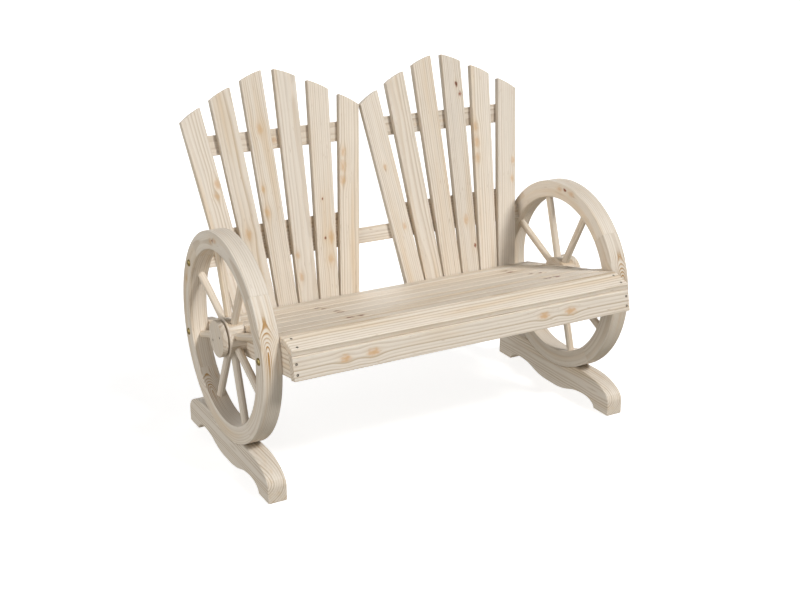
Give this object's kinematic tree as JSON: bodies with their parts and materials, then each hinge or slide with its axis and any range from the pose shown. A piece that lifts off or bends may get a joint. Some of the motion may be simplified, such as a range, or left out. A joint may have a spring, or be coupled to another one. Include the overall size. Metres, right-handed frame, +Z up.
{
  "type": "wagon wheel bench",
  "caption": "Two-seat wooden garden bench with wagon wheels as its ends, shaped feet, a sloping boarded seat and a back of two fans of slats.",
  "frame": {"origin": "on the floor, under the middle of the bench's box", "axes": "+X along the seat to the sitter's left, -Y towards the front of the bench, +Z up"},
  "size_m": [1.104, 0.66, 0.95],
  "materials": {
    "seat_fir": "planed bare fir",
    "back_fir": "planed bare fir",
    "wheel_fir": "sanded bare fir",
    "foot_fir": "sawn and sanded bare fir",
    "screw_steel": "dull zinc plate",
    "bolt_zinc": "yellow zinc plate"
  },
  "bodies": {
    "root": {"foot_screws": "screw_steel", "frame_screws": "screw_steel", "front_apron": "seat_fir", "hub_cap_screws": "screw_steel", "left_back_slat_1": "back_fir", "left_back_slat_2": "back_fir", "left_back_slat_3": "back_fir", "left_back_slat_4": "back_fir", "left_back_slat_5": "back_fir", "left_back_slat_6": "back_fir", "left_fan_rail_lower": "back_fir", "left_fan_rail_upper": "back_fir", "left_foot": "foot_fir", "left_hub": "wheel_fir", "left_hub_cap": "wheel_fir", "left_rim_bottom": "wheel_fir", "left_rim_front": "wheel_fir", "left_rim_rear": "wheel_fir", "left_rim_top": "wheel_fir", "left_side_rail": "seat_fir", "left_spokes": "wheel_fir", "long_back_rail": "back_fir", "long_rail_nuts": "bolt_zinc", "rail_nuts": "bolt_zinc", "rear_seat_rail": "seat_fir", "right_back_slat_1": "back_fir", "right_back_slat_2": "back_fir", "right_back_slat_3": "back_fir", "right_back_slat_4": "back_fir", "right_back_slat_5": "back_fir", "right_back_slat_6": "back_fir", "right_fan_rail_lower": "back_fir", "right_fan_rail_upper": "back_fir", "right_foot": "foot_fir", "right_hub": "wheel_fir", "right_hub_cap": "wheel_fir", "right_rim_bottom": "wheel_fir", "right_rim_front": "wheel_fir", "right_rim_rear": "wheel_fir", "right_rim_top": "wheel_fir", "right_side_rail": "seat_fir", "right_spokes": "wheel_fir", "rim_bolts": "bolt_zinc", "rim_tongues": "wheel_fir", "seat_bearer": "seat_fir", "seat_board_1": "seat_fir", "seat_board_2": "seat_fir", "seat_board_3": "seat_fir", "seat_board_4": "seat_fir", "seat_board_5": "seat_fir", "seat_board_6": "seat_fir", "seat_board_7": "seat_fir", "seat_board_8": "seat_fir", "seat_screws": "screw_steel", "slat_screws": "screw_steel"}
  },
  "joints": []
}
